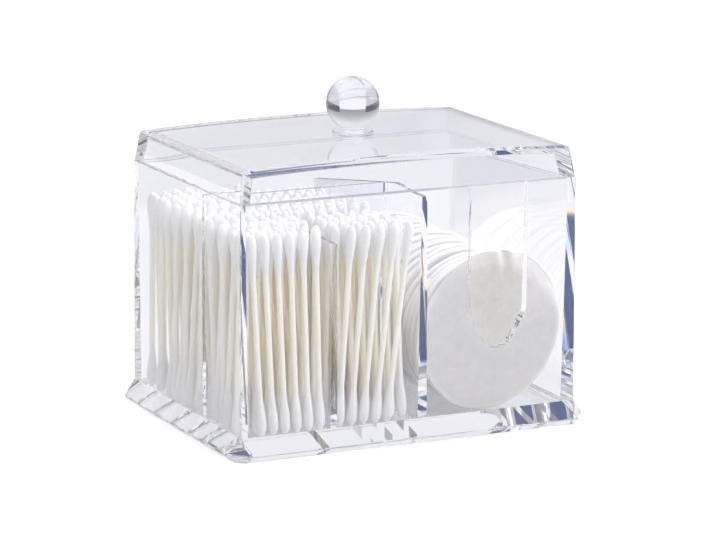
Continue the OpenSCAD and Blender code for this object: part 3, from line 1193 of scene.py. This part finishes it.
@dataclass(frozen=True)
class PaperFloor:
    """The pale paper under the object. Dark cards with blue and orange fringes are painted on it behind the object,
    shown only where a clear edge mirrors them: painted reflections in the clear edges.

    Places are in metres, to the right of the view and behind the object's middle. Each pair of them is where a
    soft edge starts and where it ends.
    """

    view: View
    radius: float = 2.0
    level: float = -0.3 * MM
    grain_scale: float = 30.0
    paper: Steps = (0.50, 0.52)
    paper_through: float = 0.30
    lift_camera: float = 0.45
    lift_through: float = 0.22
    lift_inside: float = 0.29

    card_left: Steps = (-0.145, -0.115)
    card_right: Steps = (0.030, 0.055)
    near_card: Steps = (0.070, 0.084)
    near_card_end: Steps = (0.158, 0.172)
    near_card_corner: float = 0.03
    near_card_slant: float = 0.9
    near_card_shift: float = 0.045
    many_faces: Steps = (3.4, 3.6)
    far_card: Steps = (0.214, 0.228)
    # Painted reflection colours: the cards' dark blue and the blue and orange fringes round them.
    card_reflection_blue: Colour = (0.055, 0.075, 0.16, 1)
    card_edge: Steps = (0.1, 0.5)
    card_core: Steps = (0.4, 0.9)
    painted_fringe_blue: Colour = (0.24, 0.38, 0.70, 1)
    painted_fringe_orange: Colour = (0.72, 0.42, 0.16, 1)
    orange_from: Steps = (0.12, 0.14)
    orange_to: Steps = (0.19, 0.20)

    sheet_half: float = 0.10
    sheet_spread: float = 0.36
    sheet_edge: Steps = (-0.01, 0.02)
    dim_from: Steps = (0.6, 0.7)
    dim_near: float = 0.4
    dim: Colour = (0.12, 0.12, 0.15, 1)
    # Painted dark reflection: a dark patch behind on the left that only mirrored rays see.
    corner_left: Steps = (-0.16, -0.175)
    corner_far: Steps = (0.22, 0.235)
    corner: Colour = (0.10, 0.11, 0.15, 1)

    foot_half_w: float = 73.05 * MM
    foot_half_d: float = 54.95 * MM
    contact_from: Steps = (-0.002, -0.0005)
    contact_to: Steps = (0.0, 0.0008)
    contact: float = 0.75
    shaded_to: Steps = (0.055, 0.095)
    shaded: float = 0.6
    shadow: Colour = (0.05, 0.05, 0.06, 1)

    def cards(self, graph: Graph, right: NodeSocket, far: NodeSocket, passed: NodeSocket) -> NodeSocket:
        """Mask of the two dark cards painted behind the object, which only mirrored rays see: painted reflections.

        Args:
            graph: the floor's graph.
            right: how far a place lies to the right of the view.
            far: how far it lies behind the object's middle.
            passed: how many clear faces the ray has passed. The near card starts further off for many.

        Returns:
            The mask's socket, 1 on the cards.
        """
        past_corner = graph.maths("MINIMUM", graph.maths("ADD", right, self.near_card_corner), 0.0)
        end = graph.maths("ADD", far, graph.maths("MULTIPLY", past_corner, self.near_card_slant))
        shift = graph.maths("MULTIPLY", graph.span(passed, *self.many_faces), self.near_card_shift)
        near = graph.maths("MULTIPLY", graph.span(graph.maths("SUBTRACT", far, shift), *self.near_card),
                           graph.span(end, *self.near_card_end, 1.0, 0.0))
        return graph.maths("MULTIPLY", graph.window(right, self.card_left, self.card_right),
                           graph.maths("MAXIMUM", near, graph.span(far, *self.far_card)))

    def contact_ring(self, graph: Graph, place: NodeSocket) -> NodeSocket:
        """Mask of the floor that the foot's edge shades, just inside and outside the foot.

        Args:
            graph: the floor's graph.
            place: the floor's coordinates.

        Returns:
            The mask's socket, 1 right under the edge.
        """
        parts = graph.node("ShaderNodeSeparateXYZ", Vector=place).outputs
        out = graph.maths("MAXIMUM",
                          graph.maths("SUBTRACT", graph.maths("ABSOLUTE", parts["X"]), self.foot_half_w),
                          graph.maths("SUBTRACT", graph.maths("ABSOLUTE", parts["Y"]), self.foot_half_d))
        return graph.window(out, self.contact_from, self.contact_to)

    def off_sheet(self, graph: Graph, right: NodeSocket, far: NodeSocket) -> NodeSocket:
        """Mask of the dim floor painted on both sides of the white sheet, which widens behind the object; only rays
        that the clear pieces refract see it, as a painted dark reflection.

        Args:
            graph: the floor's graph.
            right: how far a place lies to the right of the view.
            far: how far it lies behind the object's middle.

        Returns:
            The mask's socket, 1 well off the sheet.
        """
        away = graph.maths("ABSOLUTE", right)
        half = graph.maths("MAXIMUM", graph.maths("MULTIPLY", far, self.sheet_spread), self.sheet_half)
        off = graph.span(graph.maths("SUBTRACT", away, half), *self.sheet_edge)
        return graph.maths("MULTIPLY", off, graph.span(away, *self.dim_from, self.dim_near, 1.0))

    def finish(self) -> Material:
        """Makes the paper.

        Returns:
            The floor's material.
        """
        material = bpy.data.materials.new("floor_paper")
        material.use_nodes = True
        material.node_tree.nodes.clear()
        graph = Graph(material.node_tree)
        place, rays = object_place(graph), RayKinds.read(graph)
        right, far = graph.along(place, self.view.side()), graph.along(place, self.view.ahead())
        middle = graph.node("ShaderNodeVectorMath", {"operation": "LENGTH"}, Vector=place).outputs["Value"]

        # Painted reflection: the dark cards show only to rays that a clear wall mirrors.
        card = graph.maths("MULTIPLY", self.cards(graph, right, far, rays.passed), rays.guided)
        # Painted dark reflection: the dim floor off the sheet for refracted rays, and the dark corner patch for
        # mirrored rays.
        off_sheet = graph.maths("MULTIPLY", self.off_sheet(graph, right, far), rays.bent)
        corner = graph.join("MULTIPLY", graph.span(right, *self.corner_left), graph.span(far, *self.corner_far),
                            rays.guided)
        under = graph.maths("MAXIMUM",
                            graph.join("MULTIPLY", graph.span(middle, *self.shaded_to, 1.0, 0.0), rays.guided,
                                       self.shaded),
                            graph.join("MULTIPLY", self.contact_ring(graph, place), rays.inside, self.contact))

        shade = graph.blend(graph.grain(place, self.grain_scale, 2.0), grey(self.paper[0]), grey(self.paper[1]))
        shade = graph.blend(rays.inside, shade, grey(self.paper_through))
        # Painted blue and orange fringes round the card edges, then the dark card colour, as painted reflections in
        # the clear edges.
        painted_fringe = graph.blend(graph.window(far, self.orange_from, self.orange_to), self.painted_fringe_blue,
                             self.painted_fringe_orange)
        shade = graph.blend(graph.span(card, *self.card_edge), shade, painted_fringe)
        shade = graph.blend(graph.span(card, *self.card_core), shade, self.card_reflection_blue)
        for mask, colour in ((off_sheet, self.dim), (corner, self.corner), (under, self.shadow)):
            shade = graph.blend(mask, shade, colour)

        lift = graph.join("ADD", graph.maths("MULTIPLY", rays.camera, self.lift_camera),
                          graph.maths("MULTIPLY", rays.through, self.lift_through),
                          graph.maths("MULTIPLY", rays.inside, self.lift_inside))
        plain = graph.invert(graph.join("MAXIMUM", card, under, off_sheet, corner))
        glow = graph.node("ShaderNodeEmission", Color=grey(1.0), Strength=graph.maths("MULTIPLY", lift, plain))
        both = graph.node("ShaderNodeAddShader")
        graph.feed(both, 0, graph.node("ShaderNodeBsdfDiffuse", Color=shade).outputs[0])
        graph.feed(both, 1, glow.outputs[0])
        graph.node("ShaderNodeOutputMaterial", Surface=both.outputs[0])
        return material

    def build(self) -> Object:
        """Makes the floor.

        Returns:
            The floor.
        """
        form = bmesh.new()
        bmesh.ops.create_circle(form, cap_ends=True, segments=96, radius=self.radius)
        bmesh.ops.translate(form, verts=form.verts, vec=(0, 0, self.level))
        floor = make_object("floor", form)
        floor.data.materials.append(self.finish())
        return floor


@dataclass(frozen=True)
class Surroundings:
    """The world: white to the camera, and to everything else a soft room with a broad lamp overhead, a bright
    backdrop and a dark skyline on both sides of it.

    Each pair is where a soft edge starts and ends, in height or in nearness to a direction. A lean is how far a
    direction leans to the right of the view and away from it.
    """

    view: View
    wall_low: Colour = (0.60, 0.60, 0.65, 1)
    wall_low_bent: Colour = (0.36, 0.36, 0.39, 1)
    wall_high: Colour = (0.88, 0.88, 0.91, 1)
    wall_rise: Steps = (0.0, 0.6)
    backdrop_edge: Steps = (0.33, 0.35)
    skyline: Steps = (0.0, 0.02)
    skyline_side: float = 0.1
    skyline_dark: Colour = (0.12, 0.12, 0.14, 1)

    lamp_lean: Steps = (-0.45, -0.35)
    lamp_edge: Steps = (0.80, 0.88)
    lamp: float = 1.6

    mirrored_dark: Colour = (0.22, 0.22, 0.26, 1)
    mirrored_pale: Colour = (0.90, 0.90, 0.93, 1)
    mirrored_ahead: Steps = (0.3, 0.6)
    mirrored_top: Steps = (0.5, 0.75)

    light_lean: Steps = (0.45, 0.4)
    light_rise: Steps = (-0.1, 1.0)
    light: Steps = (0.22, 2.9)
    flag_rise: Steps = (-0.2, -0.7)
    flag_left: float = 0.45

    def room(self, graph: Graph, way: NodeSocket, rays: RayKinds) -> NodeSocket:
        """The room that gloss and glass show.

        Args:
            graph: the world's graph.
            way: the direction looked in.
            rays: the ray's masks.

        Returns:
            The colour's socket.
        """
        height = graph.node("ShaderNodeSeparateXYZ", Vector=way).outputs["Z"]
        low = graph.blend(rays.bent, self.wall_low, self.wall_low_bent)
        room = graph.blend(graph.span(height, *self.wall_rise), low, self.wall_high)
        beside = graph.span(graph.maths("ABSOLUTE", graph.along(way, self.view.side())), *self.backdrop_edge)
        above = graph.maths("SUBTRACT", height, graph.maths("MULTIPLY", beside, self.skyline_side))
        room = graph.blend(graph.span(above, *self.skyline, 1.0, 0.0), room,
                           graph.blend(beside, grey(1.0), self.skyline_dark))
        lamp = graph.span(graph.along(way, self.view.lean(*self.lamp_lean)), *self.lamp_edge)
        room = graph.blend(lamp, room, grey(self.lamp))
        before = graph.span(graph.along(way, self.view.ahead()), *self.mirrored_ahead)
        mirrored = graph.maths("MULTIPLY", rays.guided, graph.span(height, *self.mirrored_top, 1.0, 0.0))
        return graph.blend(mirrored, room, graph.blend(before, self.mirrored_dark, self.mirrored_pale))

    def light_on_matt(self, graph: Graph, way: NodeSocket) -> NodeSocket:
        """The soft light that matt pieces get, from overhead and a little behind, dimmer from the left.

        Args:
            graph: the world's graph.
            way: the direction looked in.

        Returns:
            The colour's socket.
        """
        top = graph.span(graph.along(way, self.view.lean(*self.light_lean)), *self.light_rise)
        soft = graph.blend(top, grey(self.light[0]), grey(self.light[1]))
        flag = graph.span(graph.along(way, self.view.side()), *self.flag_rise, 1.0, self.flag_left)
        return graph.blend(flag, grey(0.0), soft)

    def build(self) -> None:
        """Sets the scene's world."""
        world = bpy.data.worlds.new("studio")
        bpy.context.scene.world = world
        world.use_nodes = True
        world.node_tree.nodes.clear()
        graph = Graph(world.node_tree)
        way, rays = graph.node("ShaderNodeTexCoord").outputs["Generated"], RayKinds.read(graph)
        light = graph.blend(rays.matt, self.room(graph, way, rays), self.light_on_matt(graph, way))
        shown = graph.node("ShaderNodeBackground", Strength=1.0, Color=graph.blend(rays.camera, light, grey(1.0)))
        graph.node("ShaderNodeOutputWorld", Surface=shown.outputs[0])


@dataclass(frozen=True)
class Studio:
    """The camera, the pale floor and the white surroundings."""

    view: View = View()
    clear_bounces: int = 256
    matt_bounces: int = 24
    clamp: float = 6.0

    def build(self) -> None:
        """Sets the studio up round the object."""
        self.view.build()
        PaperFloor(self.view).build()
        Surroundings(self.view).build()
        bpy.context.scene.view_settings.view_transform = "Standard"
        cycles = bpy.context.scene.cycles
        cycles.max_bounces = cycles.transmission_bounces = cycles.glossy_bounces = self.clear_bounces
        cycles.diffuse_bounces = self.matt_bounces
        cycles.sample_clamp_indirect = self.clamp
        cycles.blur_glossy = 0.0


def main() -> None:
    """Builds the studio and the holder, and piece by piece."""
    logging.basicConfig(level=logging.INFO, format="%(message)s")
    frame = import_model()
    solids = frame["nodes"]
    Studio().build()
    for clear in (ClearBox(solids), ClearLid(), Knob()):
        piece = clear.build()
        LOG.info("%s: %d faces", piece.name, len(piece.data.polygons))
    swab_finish, pad_finish = SwabFinish().build(), PadFinish().build()
    for seed, label in enumerate(("front_left", "front_right", "back")):
        rows = SwabCell(label, solids, swab_finish, 100 * seed).build()
        LOG.info("swabs %s: %d rows, %d faces", label, len(rows), sum(len(r.data.polygons) for r in rows))
    pads = PadStack(solids, pad_finish).build()
    LOG.info("pads: %d, %d faces each", len(pads), len(pads[0].data.polygons))


if __name__ == "__main__":
    main()
